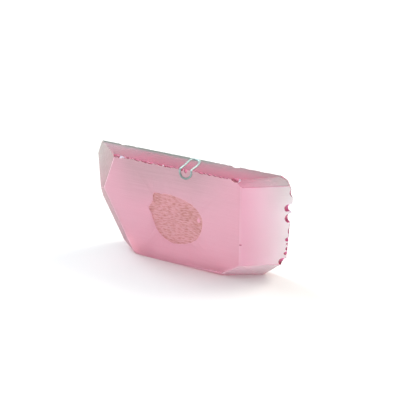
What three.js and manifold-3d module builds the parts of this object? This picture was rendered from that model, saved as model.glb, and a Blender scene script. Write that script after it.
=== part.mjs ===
// A piece of grown morganite, the pink beryl: a flat plate that stands on its long narrow edge. Its ends are
// bevelled, its thin right end is chipped, and an oval patch on the front keeps the ridged skin that it grew
// with. The thin wire that the plate hung from lies over the top edge, half sunk in the crystal.
// Millimetres. X runs along the plate, the front face looks along -Y and +Z is up. The origin lies under the
// middle of the plate, on the surface that it stands on.
import * as THREE from "three";
import { mergeVertices } from "three/addons/utils/BufferGeometryUtils.js";
import Module from "manifold-3d";

const wasm = await Module();
wasm.setup();

// Overall size of the plate
const LENGTH = 53;
const THICKNESS = 7.3;
const HEIGHT = 25;

const FRONT = -THICKNESS / 2;
const BACK = THICKNESS / 2;
const LEFT = -LENGTH / 2;
const RIGHT = LENGTH / 2;

// Left end: a tall bevel above, two hidden side faces, a chamfer that meets the front, and a rounded heel
const BEVEL_TOP_FRONT_X = -16.4;
const BEVEL_TOP_BACK_X = -25;
const BEVEL_FOOT = { x: -19.9, z: 16 };
const LEFT_TIP_Z = 22.2;
const SHOULDER = { x: -21.9, y: FRONT + 1.2, z: 15.9 };
const FLANK = { x: -21.5, y: FRONT + 1.8, z: 12 };
const FLANK_FOOT = { x: -16, z: 2 };
const STRIP_FOOT = { x: -11.8, z: 0.3 };
const HEEL_END_X = -10.7;

// Right end: a steep bevel from an upright ridge, trimmed above and below by shallower bevels that fall a
// little towards the back. The toe is a second, steeper trim low at the front.
const RIDGE_X = 17;
const RIDGE_TOP_Z = 23.4;
const RIDGE_FOOT_Z = 3.8;
const UPPER_TRIM = { inset: 1, backZ: 23.1 };
const LOWER_TRIM = { backZ: 3.4, foot: [20.5, FRONT + 5.3, 0] };
const TOE = { startX: 11.2, top: [15.8, FRONT, 3.1] };

// Breaks in the thin right edge: a point on each and the way it faces. The first leans back more and more below
// its point, and the other two round off the top corner.
const EDGE_BREAKS = [
  { at: [26.1, BACK, 14.5], face: [1, 0.2, -0.06] },
  { at: [24.5, BACK, 24.45], face: [0.45, 0.1, 0.89] },
  { at: [25.5, BACK, 23.25], face: [0.88, 0.3, 0.42] },
];

// Broken lower corner at the back of the right end: where the break crosses the lower bevel and the back face
const CORNER_BREAK = { top: [25.3, 3.05, 4.1], floor: [20.7, 1.75, 0], back: [19.1, BACK, 0] };

// Front bottom edge: a sliver of bevel that fades out towards the left
const SILL = { fromX: -4.1, toX: 9.5, height: 0.8, depth: 0.5 };

// Chips: [centre], [radii], [turn about X, Y and Z]
const END_BITES = [
  { at: [27.1, 3.2, 21.4], radii: [1.25, 1.8, 1.5], turn: [0, 0, 0] },
  { at: [26.25, 2, 17.7], radii: [1.3, 2.2, 1.28], turn: [0, 0, 0] },
  { at: [26.4, 2.2, 15.15], radii: [1.28, 2.6, 1.42], turn: [0, -0.25, 0] },
  { at: [26.8, 3.1, 11.9], radii: [1, 1.4, 1.6], turn: [0, 0, 0] },
  { at: [26.3, 2.3, 9.8], radii: [1, 1.7, 0.7], turn: [0, -0.15, 0] },
  { at: [26.3, 2.6, 8.6], radii: [0.8, 1.3, 0.42], turn: [0, 0.1, 0] },
  { at: [26.15, 2.8, 7.4], radii: [0.7, 1.1, 0.6], turn: [0, 0.1, 0] },
  { at: [25.95, 2.3, 6.15], radii: [0.8, 1.4, 0.6], turn: [0, 0.2, 0] },
  { at: [25.5, 2.1, 4], radii: [1.3, 1.8, 1.05], turn: [0, 0.5, 0] },
  { at: [24, 2.4, 2.3], radii: [0.8, 0.9, 0.45], turn: [0, -0.7, 0] },
  { at: [22, 2.4, 0.6], radii: [0.6, 0.7, 0.4], turn: [0, -0.6, 0] },
];
const EDGE_CHIPS = [
  { at: [-16.5, FRONT + 0.1, HEIGHT + 0.1], radii: [1.2, 0.7, 0.55], turn: [0.4, 0, 0.3] },
  { at: [-15.1, FRONT, HEIGHT], radii: [0.9, 0.55, 0.5], turn: [0.5, 0, 0] },
  { at: [-18.6, BACK + 0.1, HEIGHT + 0.1], radii: [0.9, 0.6, 0.4], turn: [0, 0, 0.2] },
  { at: [-25.1, BACK, HEIGHT + 0.1], radii: [0.45, 0.5, 0.4], turn: [0, 0.4, 0] },
  { at: [12.1, BACK, HEIGHT + 0.1], radii: [1.1, 0.8, 0.45], turn: [0.3, 0, 0] },
  { at: [15.4, FRONT + 0.3, HEIGHT], radii: [1.2, 0.7, 0.6], turn: [0.4, 0.3, 0.5] },
  { at: [17.2, FRONT - 0.1, 9.2], radii: [0.5, 0.35, 0.25], turn: [0, 0, 0.3] },
  { at: [2.9, FRONT - 0.1, HEIGHT - 0.1], radii: [0.4, 0.4, 0.8], turn: [0, 0, 0] },
  { at: [-11.1, FRONT - 0.1, 0], radii: [1, 0.4, 0.3], turn: [0, 0, 0] },
  { at: [9.7, BACK + 0.1, 0], radii: [1.1, 0.5, 0.4], turn: [0, 0, 0] },
];

// Nicks left by the saw along the long edges: where each run starts and ends, how many, and how large
const NICK_RUNS = [
  { from: [-14.3, FRONT, HEIGHT], to: [1.7, FRONT, HEIGHT], count: 20, size: 0.42, seed: 7 },
  { from: [5.3, FRONT, HEIGHT], to: [14.1, FRONT, HEIGHT], count: 9, size: 0.34, seed: 19 },
  { from: [-23.3, BACK, HEIGHT], to: [22.6, BACK, HEIGHT], count: 16, size: 0.26, seed: 31 },
];

// Oval patch of grown skin, sunk a little below the ground front: its radii run anticlockwise from the right
const PATCH_CENTRE = { x: 0.1, z: 11.6 };
const PATCH_RADII = [
  7.4, 7.6, 7.4, 7, 6.6, 6.4, 6.5, 6.9, 7.4, 8.6, 7.6, 7.9, 6.9, 6.6, 6.6, 6.6, 6.5, 6.5, 6.4, 6.4, 6.5,
  6.8, 7.1, 7.2,
];
const PATCH_DEPTH = 0.22;
const PATCH_RIM = 0.5; // width of the slope between the patch and the ground face
const SKIN_RIDGE_SPACING = 1.05;
const SKIN_RIDGE_HEIGHT = 0.13;
const PATCH_CELLS = { x: 26, z: 54 };

// Hanging wire, half sunk in the channel that the crystal grew round it
const WIRE_RADIUS = 0.25;
const WIRE_GAP = 0.3;
const WIRE_SIDES = 8;
const WIRE_STEP = 0.3;
const WIRE_TURN = 0.12; // how far the wire cuts the corner where it turns over the edge
const WIRE_ROUTE = [
  [2.8, 2.8, HEIGHT],
  [1.8, 2.95, HEIGHT],
  [1.1, 2.8, HEIGHT],
  [0.9, 2.15, HEIGHT],
  [1.25, -0.65, HEIGHT],
  [1.45, -3.05, HEIGHT],
  [1.43, FRONT + WIRE_TURN, HEIGHT - WIRE_TURN],
  [1.38, FRONT, 24.5],
  [1.4, FRONT, 23.9],
  [1.85, FRONT, 23.1],
  [2.85, FRONT, 22.8],
  [3.85, FRONT, 23.3],
  [4.35, FRONT, 24.1],
  [4.35, FRONT, 24.5],
  [4.28, FRONT + WIRE_TURN, HEIGHT - WIRE_TURN],
  [4.2, -3.05, HEIGHT],
  [4.1, -0.45, HEIGHT],
  [3.75, 1.15, HEIGHT],
  [3.35, 2.2, HEIGHT],
];

const CUTTER = 90; // larger than the plate in every direction

function v(x, y, z) {
  return new THREE.Vector3(x, y, z);
}

// The same small random numbers in the same order each time
function randomFrom(seed) {
  let state = seed;
  return () => {
    state = (state * 1664525 + 1013904223) % 4294967296;
    return state / 4294967296;
  };
}

// three.js geometry to a solid that can be joined or cut
function solid(geometry) {
  const bare = geometry.index ? geometry.toNonIndexed() : geometry.clone();
  bare.deleteAttribute("normal");
  bare.deleteAttribute("uv");
  const merged = mergeVertices(bare, 1e-4);
  return new wasm.Manifold(
    new wasm.Mesh({
      numProp: 3,
      vertProperties: merged.attributes.position.array,
      triVerts: new Uint32Array(merged.index.array),
    }),
  );
}

function geometryOf(body) {
  const mesh = body.getMesh();
  const geometry = new THREE.BufferGeometry();
  geometry.setAttribute("position", new THREE.BufferAttribute(mesh.vertProperties, 3));
  geometry.setIndex(new THREE.BufferAttribute(mesh.triVerts, 1));
  const faceted = geometry.toNonIndexed();
  faceted.computeVertexNormals();
  return faceted;
}

// A block that takes away everything on the outer side of the plane through `point` that faces `normal`
function beyond(normal, point) {
  const turn = new THREE.Quaternion().setFromUnitVectors(v(0, 0, 1), normal.clone().normalize());
  const block = new THREE.BoxGeometry(CUTTER, CUTTER, CUTTER).translate(0, 0, CUTTER / 2);
  return solid(block.applyQuaternion(turn).translate(point.x, point.y, point.z));
}

// The same for the plane through three points, on the side that `outward` points to
function beyondPoints(a, b, c, outward) {
  const normal = b.clone().sub(a).cross(c.clone().sub(a));
  if (normal.dot(outward) < 0) normal.negate();
  return beyond(normal, a);
}

// A stretched ball that leaves a shell-shaped hollow, as a chip in glassy crystal has
function flake(centre, radii, turn, detail = 2) {
  const ball = new THREE.IcosahedronGeometry(1, detail);
  ball.scale(...radii);
  ball.rotateX(turn[0]).rotateY(turn[1]).rotateZ(turn[2]);
  return solid(ball.translate(...centre));
}

function plate() {
  const block = new THREE.BoxGeometry(LENGTH, THICKNESS, HEIGHT).translate(0, 0, HEIGHT / 2);
  const bevelFoot = v(BEVEL_FOOT.x, FRONT, BEVEL_FOOT.z);
  const shoulder = v(SHOULDER.x, SHOULDER.y, SHOULDER.z);
  const ridgeFoot = v(RIDGE_X, FRONT, RIDGE_FOOT_Z);
  const ridgeTop = v(RIDGE_X, FRONT, RIDGE_TOP_Z);
  const bevelFace = v(THICKNESS, RIDGE_X - RIGHT, 0).normalize();
  const upperTrimEdge = ridgeTop.clone().setZ(HEIGHT).addScaledVector(bevelFace, -UPPER_TRIM.inset);
  const lowerTrimFoot = v(...LOWER_TRIM.foot);
  const flank = v(FLANK.x, FLANK.y, FLANK.z);
  const flankFoot = v(FLANK_FOOT.x, FLANK.y, FLANK_FOOT.z);
  const heelEnd = v(HEEL_END_X, FLANK.y, 0);
  const cuts = [
    beyondPoints(
      v(BEVEL_TOP_FRONT_X, FRONT, HEIGHT),
      v(BEVEL_TOP_BACK_X, BACK, HEIGHT),
      bevelFoot,
      v(-1, -1, 0),
    ),
    beyondPoints(v(LEFT, BACK, LEFT_TIP_Z), shoulder, flank, v(-1, 0, 0)),
    beyondPoints(bevelFoot, v(STRIP_FOOT.x, FRONT, STRIP_FOOT.z), shoulder, v(-1, -1, 0)),
    beyondPoints(flank, flankFoot, v(FLANK.x, BACK, FLANK.z), v(-1, 0, 0)),
    beyondPoints(flankFoot, heelEnd, v(HEEL_END_X, BACK, 0), v(0, 0, -1)),
    beyond(bevelFace, ridgeFoot),
    beyondPoints(ridgeTop, v(RIGHT, BACK, UPPER_TRIM.backZ), upperTrimEdge, v(1, -1, 1)),
    beyondPoints(ridgeFoot, v(RIGHT, BACK, LOWER_TRIM.backZ), lowerTrimFoot, v(1, -1, -1)),
    beyondPoints(v(TOE.startX, FRONT, 0), v(...TOE.top), lowerTrimFoot, v(1, -1, -1)),
    ...EDGE_BREAKS.map(({ at, face }) => beyond(v(...face), v(...at))),
    beyondPoints(
      v(...CORNER_BREAK.top),
      v(...CORNER_BREAK.floor),
      v(...CORNER_BREAK.back),
      v(1, 1, -1),
    ),
    beyondPoints(
      v(SILL.fromX, FRONT, 0),
      v(SILL.toX, FRONT, SILL.height),
      v(SILL.toX, FRONT + SILL.depth, 0),
      v(0, -1, -1),
    ),
  ];
  return cuts.reduce((body, cut) => body.subtract(cut), solid(block));
}

// Small nicks of changing size along one edge
function nicks({ from, to, count, size, seed }) {
  const random = randomFrom(seed);
  const start = v(...from);
  const run = v(...to).sub(start);
  return Array.from({ length: count }, (_, i) => {
    const at = start.clone().addScaledVector(run, (i + random()) / count);
    const scale = size * (0.6 + 0.8 * random());
    const radii = [scale * (0.8 + 0.9 * random()), scale * 0.75, scale * (0.35 + 0.35 * random())];
    return flake(at.toArray(), radii, [random() - 0.5, 0, 0], 1);
  });
}

// How deep the skin lies behind the ground front at (x, z); negative outside the patch
function skinDepth(x, z) {
  const dx = x - PATCH_CENTRE.x;
  const dz = z - PATCH_CENTRE.z;
  const turn = (Math.atan2(dz, dx) / (2 * Math.PI) + 1) % 1;
  const place = turn * PATCH_RADII.length;
  const before = PATCH_RADII[Math.floor(place) % PATCH_RADII.length];
  const after = PATCH_RADII[Math.ceil(place) % PATCH_RADII.length];
  const blend = (1 - Math.cos((place % 1) * Math.PI)) / 2;
  const inside = before + (after - before) * blend - Math.hypot(dx, dz);
  const sunk = PATCH_DEPTH * THREE.MathUtils.clamp(inside / PATCH_RIM, -1, 1);
  const wave = z + 0.32 * Math.sin(0.9 * x) + 0.2 * Math.sin(2.3 * x + 1.1 * z);
  const ridge = Math.sin((wave * 2 * Math.PI) / SKIN_RIDGE_SPACING);
  return sunk + SKIN_RIDGE_HEIGHT * ridge * THREE.MathUtils.clamp(inside / PATCH_RIM, 0, 1);
}

// A thick pad in front of the patch whose back is the shape of the skin
function skinPad() {
  const reach = Math.max(...PATCH_RADII) + PATCH_RIM;
  const thick = 2;
  const pad = new THREE.BoxGeometry(2 * reach, thick, 2 * reach, PATCH_CELLS.x, 1, PATCH_CELLS.z);
  pad.translate(PATCH_CENTRE.x, FRONT - thick / 2, PATCH_CENTRE.z);
  const at = pad.attributes.position;
  for (let i = 0; i < at.count; i++) {
    if (at.getY(i) > FRONT - thick / 2) at.setY(i, FRONT + skinDepth(at.getX(i), at.getZ(i)));
  }
  return solid(pad);
}

// A round rod of the given radius along the wire's route
function rodAlongWire(radius) {
  const route = new THREE.CatmullRomCurve3(
    WIRE_ROUTE.map((at) => v(...at)),
    false,
    "centripetal",
  );
  const section = new THREE.Shape(new THREE.EllipseCurve(0, 0, radius, radius).getPoints(WIRE_SIDES));
  return new THREE.ExtrudeGeometry(section, {
    extrudePath: route,
    steps: Math.round(route.getLength() / WIRE_STEP),
    curveSegments: WIRE_SIDES,
  });
}

function crystalBody() {
  const chips = [...END_BITES, ...EDGE_CHIPS].map(({ at, radii, turn }) => flake(at, radii, turn));
  const cuts = [
    ...chips,
    ...NICK_RUNS.flatMap(nicks),
    skinPad(),
    solid(rodAlongWire(WIRE_RADIUS + WIRE_GAP)),
  ];
  return cuts.reduce((body, cut) => body.subtract(cut), plate());
}

const crystal = new THREE.Mesh(
  geometryOf(crystalBody()),
  new THREE.MeshStandardMaterial({ color: 0xe3a9bd, roughness: 0.35, metalness: 0, flatShading: true }),
);
crystal.name = "crystal";

const wireLoop = new THREE.Mesh(
  rodAlongWire(WIRE_RADIUS),
  new THREE.MeshStandardMaterial({ color: 0xa9c4bf, roughness: 0.3, metalness: 1 }),
);
wireLoop.name = "wire_loop";

const morganite = new THREE.Group();
morganite.add(crystal, wireLoop);
export default morganite;
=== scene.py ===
"""A plate of grown morganite and the wire that it hung from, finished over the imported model.

Sizes are in millimetres while the pieces are made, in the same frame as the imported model: X runs along the
plate, the front face looks along -Y and the plate stands on Z = 0. A finished piece is scaled to metres.
"""

import math

import bmesh
import bpy
import numpy as np
from mathutils import Matrix, Vector


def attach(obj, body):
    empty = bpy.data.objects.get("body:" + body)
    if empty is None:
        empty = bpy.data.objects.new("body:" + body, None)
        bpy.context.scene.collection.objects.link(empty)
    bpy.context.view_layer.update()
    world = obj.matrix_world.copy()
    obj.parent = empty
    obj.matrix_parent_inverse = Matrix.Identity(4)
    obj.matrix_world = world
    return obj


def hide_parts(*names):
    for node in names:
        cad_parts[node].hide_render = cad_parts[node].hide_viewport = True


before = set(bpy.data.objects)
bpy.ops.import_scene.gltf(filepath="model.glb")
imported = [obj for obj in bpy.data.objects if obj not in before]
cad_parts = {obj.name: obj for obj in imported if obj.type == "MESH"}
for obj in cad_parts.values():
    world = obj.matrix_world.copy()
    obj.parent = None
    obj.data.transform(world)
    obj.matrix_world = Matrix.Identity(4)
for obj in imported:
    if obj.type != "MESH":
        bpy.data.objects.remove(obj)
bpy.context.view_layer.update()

MM = 0.001

# ---- Sizes ----

# The plate, as in the part's source
LENGTH = 53.0
THICKNESS = 7.3
HEIGHT = 25.0
FRONT, BACK = -THICKNESS / 2, THICKNESS / 2
LEFT, RIGHT = -LENGTH / 2, LENGTH / 2

BEVEL_TOP_FRONT_X = -16.4
BEVEL_TOP_BACK_X = -25.0
BEVEL_FOOT = (-19.9, FRONT, 16)
LEFT_TIP = (LEFT, BACK, 22.2)
SHOULDER = (-21.9, FRONT + 1.2, 15.9)
FLANK = (-21.5, FRONT + 1.8, 12)
FLANK_FOOT = (-16, FRONT + 1.8, 2)
STRIP_FOOT = (-11.8, FRONT, 0.3)
HEEL_END_X = -10.7
RIDGE_X = 17.0
RIDGE_TOP_Z = 23.4
RIDGE_FOOT_Z = 3.8
UPPER_TRIM_INSET = 1.0
UPPER_TRIM_BACK_Z = 23.1
LOWER_TRIM_BACK_Z = 3.4
LOWER_TRIM_FOOT = (20.5, FRONT + 5.3, 0)
TOE_START_X = 11.2
TOE_TOP = (15.8, FRONT, 3.1)
EDGE_BREAKS = (
    ((26.1, BACK, 14.5), (1, 0.2, -0.06)),
    ((24.5, BACK, 24.45), (0.45, 0.1, 0.89)),
    ((25.5, BACK, 23.25), (0.88, 0.3, 0.42)),
)
CORNER_BREAK = ((25.3, 3.05, 4.1), (20.7, 1.75, 0), (19.1, BACK, 0))
SILL_POINTS = ((-4.1, FRONT, 0), (9.5, FRONT, 0.8), (9.5, FRONT + 0.5, 0))

# Chips: centre, radii and turn about X, Y and Z
END_BITES = (
    ((27.1, 3.2, 21.4), (1.25, 1.8, 1.5), (0, 0, 0)),
    ((26.25, 2, 17.7), (1.3, 2.2, 1.28), (0, 0, 0)),
    ((26.4, 2.2, 15.15), (1.28, 2.6, 1.42), (0, -0.25, 0)),
    ((26.8, 3.1, 11.9), (1, 1.4, 1.6), (0, 0, 0)),
    ((26.3, 2.3, 9.8), (1, 1.7, 0.7), (0, -0.15, 0)),
    ((26.3, 2.6, 8.6), (0.8, 1.3, 0.42), (0, 0.1, 0)),
    ((26.15, 2.8, 7.4), (0.7, 1.1, 0.6), (0, 0.1, 0)),
    ((25.95, 2.3, 6.15), (0.8, 1.4, 0.6), (0, 0.2, 0)),
    ((25.5, 2.1, 4), (1.3, 1.8, 1.05), (0, 0.5, 0)),
    ((24, 2.4, 2.3), (0.8, 0.9, 0.45), (0, -0.7, 0)),
    ((22, 2.4, 0.6), (0.6, 0.7, 0.4), (0, -0.6, 0)),
)
EDGE_CHIPS = (
    ((-16.5, FRONT + 0.1, HEIGHT + 0.1), (1.2, 0.7, 0.55), (0.4, 0, 0.3)),
    ((-15.1, FRONT, HEIGHT), (0.9, 0.55, 0.5), (0.5, 0, 0)),
    ((-18.6, BACK + 0.1, HEIGHT + 0.1), (0.9, 0.6, 0.4), (0, 0, 0.2)),
    ((-25.1, BACK, HEIGHT + 0.1), (0.45, 0.5, 0.4), (0, 0.4, 0)),
    ((12.1, BACK, HEIGHT + 0.1), (1.1, 0.8, 0.45), (0.3, 0, 0)),
    ((15.4, FRONT + 0.3, HEIGHT), (1.2, 0.7, 0.6), (0.4, 0.3, 0.5)),
    ((17.2, FRONT - 0.1, 9.2), (0.5, 0.35, 0.25), (0, 0, 0.3)),
    ((2.9, FRONT - 0.1, HEIGHT - 0.1), (0.4, 0.4, 0.8), (0, 0, 0)),
    ((-11.1, FRONT - 0.1, 0), (1, 0.4, 0.3), (0, 0, 0)),
    ((9.7, BACK + 0.1, 0), (1.1, 0.5, 0.4), (0, 0, 0)),
)

# Where the blow fell, in radii from the centre of the chip
BITE_BLOW = (-0.6, -0.8, 0.3)
EDGE_BLOW = (0.5, 0, 0.9)

# The surface of a chip. Rings run round the blow and waver; lumps and grain are in sizes of the chip.
BITE_SURFACE = {"Detail": 6, "Ring_spacing": 0.5, "Ring_height": 0.008, "Lumps": 0.22, "Grain": 0.05}
EDGE_CHIP_SURFACE = {"Detail": 5, "Ring_spacing": 0.3, "Ring_height": 0.006, "Lumps": 0.3, "Grain": 0.12}
CHIP_LUMP_SCALE = 0.55
CHIP_GRAIN_SCALE = 2.6
RING_WAVER = 9.0

# Nicks left by the saw: where each run starts and ends, how many, how large, and the seed
NICK_RUNS = (
    ((-14.3, FRONT, HEIGHT), (1.7, FRONT, HEIGHT), 30, 0.4, 7),
    ((5.3, FRONT, HEIGHT), (14.1, FRONT, HEIGHT), 15, 0.32, 19),
    ((-23.3, BACK, HEIGHT), (22.6, BACK, HEIGHT), 24, 0.22, 31),
)

# How nicks differ. Shift is in spaces between nicks; length, width and depth are in sizes. Lumps are the
# scale of a noise and its reach.
NICK_SHIFT = (-0.45, 0.45)
NICK_SIZE = (0.45, 1.45)
NICK_SIZE_POWER = 1.3
NICK_LENGTH = (0.8, 1.9)
NICK_WIDTH = 0.8
NICK_DEPTH = (0.3, 0.75)
NICK_LEAN = (-0.6, 0.6)
NICK_SWING = (-0.5, 0.5)
NICK_LUMPS = (2.2, 0.7)
NICK_DETAIL = 3

# Oval patch of grown skin: its radii run anticlockwise from the right. It sinks over its rim, from outside to
# inside. The pad that shapes it has so many cells a side and reaches so far from the centre.
PATCH_CENTRE = (0.1, 11.6)
PATCH_RADII = (
    7.4, 7.6, 7.4, 7, 6.6, 6.4, 6.5, 6.9, 7.4, 8.6, 7.6, 7.9, 6.9, 6.6, 6.6, 6.6, 6.5, 6.5, 6.4, 6.4, 6.5,
    6.8, 7.1, 7.2,
)
PATCH_DEPTH = 0.22
PATCH_RIM = (-0.5, 1.0)
PATCH_CELLS = 150
PATCH_REACH = 8.9
PAD_THICKNESS = 2.0

# Ridges of the skin. Each waver is the scale of a noise and its reach.
SKIN_RIDGES = {"Ridge_spacing": 0.6, "Ridge_length": 1.5, "Ridge_height": 0.12, "Sway": 0.5}
BROAD_WAVER = (0.22, 3.2)
FINE_WAVER = (0.8, 0.9)
RIM_WAVER = (1.7, 0.35)
CELL_LEVEL = 0.45
CELL_SMOOTHNESS = 0.35
CELL_RANDOMNESS = 0.8
CELL_SHARE, ROPE_SHARE, GRAIN_SHARE = 0.9, 0.22, 0.8
GRAIN_STRETCH = (1.6, 3.4)

# Hanging wire
WIRE_RADIUS = 0.25
CHANNEL_RADIUS = 0.27
WIRE_STEP = 0.12
WIRE_TURN = 0.12
WIRE_SIDES = 14
WIRE_ROUTE = (
    (2.8, 2.8, HEIGHT),
    (1.8, 2.95, HEIGHT),
    (1.1, 2.8, HEIGHT),
    (0.9, 2.15, HEIGHT),
    (1.25, -0.65, HEIGHT),
    (1.45, -3.05, HEIGHT),
    (1.43, FRONT + WIRE_TURN, HEIGHT - WIRE_TURN),
    (1.38, FRONT, 24.5),
    (1.4, FRONT, 23.9),
    (1.85, FRONT, 23.1),
    (2.85, FRONT, 22.8),
    (3.85, FRONT, 23.3),
    (4.35, FRONT, 24.1),
    (4.35, FRONT, 24.5),
    (4.28, FRONT + WIRE_TURN, HEIGHT - WIRE_TURN),
    (4.2, -3.05, HEIGHT),
    (4.1, -0.45, HEIGHT),
    (3.75, 1.15, HEIGHT),
    (3.35, 2.2, HEIGHT),
)
BEAD_AT = (3.06, 2.53, HEIGHT - 0.02)
BEAD_RADII = (0.4, 0.42, 0.3)

# Flats along the edges of the plate: the worn ones beside the left bevel, the upright ridge, and the rest.
# Two faces that turn less than the softest edge get none. Shading breaks from the sharp edge on, and points
# closer than touching are one.
WORN_LINE_WIDTH = 0.3
RIDGE_FLAT_WIDTH = 0.5
EASED_EDGE_WIDTH = 0.09
SOFTEST_EDGE = math.radians(8)
SHARP_EDGE = math.radians(32)
TOUCHING = 1e-5

# Faces of the plate, by number, as the attribute "facet" keeps them through every cut
CHIPPED, FRONT_FACE, BACK_FACE, TOP_FACE, FOOT_FACE, LEFT_BEVEL, LEFT_SIDE, LEFT_STRIP = range(8)
FLANK_FACE, HEEL, RIGHT_BEVEL, UPPER_TRIM, LOWER_TRIM, THIN_EDGE, BROKEN_CORNER, SILL = range(8, 16)
EASED_EDGE, WORN_LINE, SKIN, CHANNEL, RIDGE_FLAT = range(16, 21)
BLOCK_FACES = {
    (-1, 0, 0): LEFT_SIDE,
    (1, 0, 0): THIN_EDGE,
    (0, -1, 0): FRONT_FACE,
    (0, 1, 0): BACK_FACE,
    (0, 0, -1): FOOT_FACE,
    (0, 0, 1): TOP_FACE,
}

# ---- Looks, light and view ----

# Clear crystal: its refraction, the colour that it keeps over a long way, per channel, and how strongly it
# takes the rest
BERYL_IOR = 1.58
BERYL_COLOUR = (0.86, 0.0, 0.32, 1)
BERYL_DENSITY = 120.0

# Tint of the clear surface: deep at the thin end, where one looks down the length of the plate, less so in
# the nicks, and slight on the top
DEEP_TINT = (0.95, 0.03, 0.28)
NICK_TINT = (0.62, 0.3, 0.45)
TOP_TINT = (0.996, 0.922, 0.942)
END_X = RIDGE_X + 3

# Painted glints: some chips in a band below the front top edge, from x to x, and the tips between the end
# bites, from z to z, are painted bluish white where light glints on them
PAINTED_GLINT_SPANS = ((-15.2, -13.8), (-3.4, -2.9), (15.9, 16.5))
PAINTED_GLINT_TIPS = ((18.5, 19.4), (16.1, 16.8), (13.4, 14), (4.7, 5.6))
PAINTED_GLINT_BAND = 2.0
PAINTED_GLINT_SHARE = 0.75
PAINTED_GLINT_COLOUR = (0.84, 0.88, 1.0)

# Finish of each face: its roughness, the share of it that ground dust hides where the face starts and where
# it ends, and the colour of the dust at those two places
FACE_FINISH = {
    CHIPPED: (0.03, 0.0, 0.0, (0.9, 0.9, 0.9), (0.9, 0.9, 0.9)),
    FRONT_FACE: (0.5, 0.35, 0.35, (0.7, 0.4, 0.46), (0.64, 0.5, 0.55)),
    BACK_FACE: (0.4, 0.08, 0.08, (0.8, 0.62, 0.7), (0.8, 0.68, 0.74)),
    TOP_FACE: (0.12, 0.38, 0.2, (0.34, 0.33, 0.36), (1.0, 0.36, 0.6)),
    FOOT_FACE: (0.4, 0.04, 0.04, (0.5, 0.4, 0.42), (0.5, 0.4, 0.42)),
    LEFT_BEVEL: (0.2, 0.75, 0.75, (0.46, 0.3, 0.31), (0.37, 0.3, 0.28)),
    LEFT_SIDE: (0.3, 0.4, 0.4, (0.6, 0.45, 0.5), (0.58, 0.46, 0.48)),
    LEFT_STRIP: (0.3, 0.75, 0.75, (0.44, 0.26, 0.3), (0.48, 0.31, 0.32)),
    FLANK_FACE: (0.4, 0.3, 0.3, (0.6, 0.45, 0.5), (0.6, 0.48, 0.5)),
    HEEL: (0.4, 0.1, 0.1, (0.6, 0.45, 0.5), (0.6, 0.45, 0.5)),
    RIGHT_BEVEL: (0.3, 0.25, 0.25, (0.95, 0.78, 0.94), (0.75, 0.76, 0.8)),
    UPPER_TRIM: (0.2, 0.28, 0.28, (0.62, 0.42, 0.52), (0.52, 0.75, 0.73)),
    LOWER_TRIM: (0.25, 0.5, 0.5, (1.0, 0.85, 0.92), (1.0, 0.9, 0.95)),
    THIN_EDGE: (0.03, 0.0, 0.0, (0.9, 0.9, 0.9), (0.9, 0.9, 0.9)),
    BROKEN_CORNER: (0.1, 0.02, 0.02, (0.9, 0.9, 0.9), (0.9, 0.9, 0.9)),
    SILL: (0.2, 0.05, 0.05, (0.7, 0.5, 0.6), (0.7, 0.5, 0.6)),
    EASED_EDGE: (0.2, 0.2, 0.2, (0.9, 0.75, 0.8), (0.9, 0.75, 0.8)),
    WORN_LINE: (0.5, 0.6, 0.6, (0.9, 0.7, 0.78), (0.9, 0.7, 0.78)),
    SKIN: (0.6, 0.0, 0.0, (0.7, 0.5, 0.5), (0.7, 0.5, 0.5)),
    CHANNEL: (0.3, 0.1, 0.1, (0.7, 0.5, 0.6), (0.7, 0.5, 0.6)),
    RIDGE_FLAT: (0.4, 0.35, 0.35, (0.9, 0.75, 0.85), (0.9, 0.75, 0.85)),
}

# From where to where the dust changes along a face. The faces that have no run here have the front's.
DUST_RUNS = {
    TOP_FACE: ((0, BACK - 0.8, 0), (0, FRONT + 0.8, 0)),
    RIGHT_BEVEL: ((RIDGE_X + 1, 0, 0), (RIGHT - 2, 0, 0)),
    UPPER_TRIM: ((RIDGE_X + 1, 0, 0), (RIGHT - 3, 0, 0)),
    LOWER_TRIM: ((RIDGE_X - 3, 0, 0), (RIGHT - 5, 0, 0)),
    LEFT_BEVEL: ((0, 0, 15), (0, 0, 22)),
    LEFT_STRIP: ((0, 0, 4), (0, 0, 14)),
}
FRONT_RUN = ((0, 0, 1), (0, 0, 9))

# Grinding lines are a noise stretched by these factors, level, and upright on the left faces. Each noise has
# a scale, a detail and a roughness.
LEVEL_STRETCH = (0.05, 0.05, 1.6)
LEVEL_NOISE = (2.6, 4.0, 0.65)
UPRIGHT_STRETCH = (1.6, 1.6, 0.06)
UPRIGHT_NOISE = (1.6, 3.0, 0.6)
SPECK_SCALE = 7.0
CLOUD_SCALE = 0.16

# Lines and specks also make the relief of a ground face, which is full from a roughness of 1 / RELIEF_RISE on
LINE_RELIEF, SPECK_RELIEF = 0.7, 0.3
RELIEF_RISE = 4.0
GROUND_BUMP = 0.35
BUMP_HEIGHT = 0.02
ROUGHNESS_EVEN, ROUGHNESS_IN_LINES = 0.86, 0.28

# Dust: its roughness and refraction, how much of it lies evenly, in the lines and in the specks, and the
# streaks in which its colour changes along a face
DUST_ROUGHNESS = 0.55
DUST_IOR = 1.5
DUST_EVEN, DUST_IN_LINES, DUST_IN_SPECKS = 0.54, 0.6, 0.32
STREAK_STRETCH = (0.9, 0.25, 0.25)
RUN_WAVER = 0.7

# High on the front the film is greyer and hides more: the spans in z and x over which this greyer band comes
# and goes
GREY_BAND_COLOUR = (0.4, 0.4, 0.39, 1)
GREY_BAND_SHARE = 0.2
GREY_BAND_RISE = (12.0, 25.0)
GREY_BAND_START = (-20.0, -11.0)
GREY_BAND_END = (4.0, 18.0)
GREY_BAND_WAVER = 6.0

# There is a second greyer band high at the thin end
END_GREY_BAND_RISE = (16.0, 23.0)
END_GREY_BAND_START = (19.0, 25.0)
END_GREY_BAND_WAVER = 8.0
END_GREY_BAND_STRENGTH = 0.7

# The top is paler towards its left end
PALE_COLOUR = (0.68, 0.54, 0.62, 1)
PALE_END = (-19.0, -9.0)
PALE_WAVER = 6.0
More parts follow.
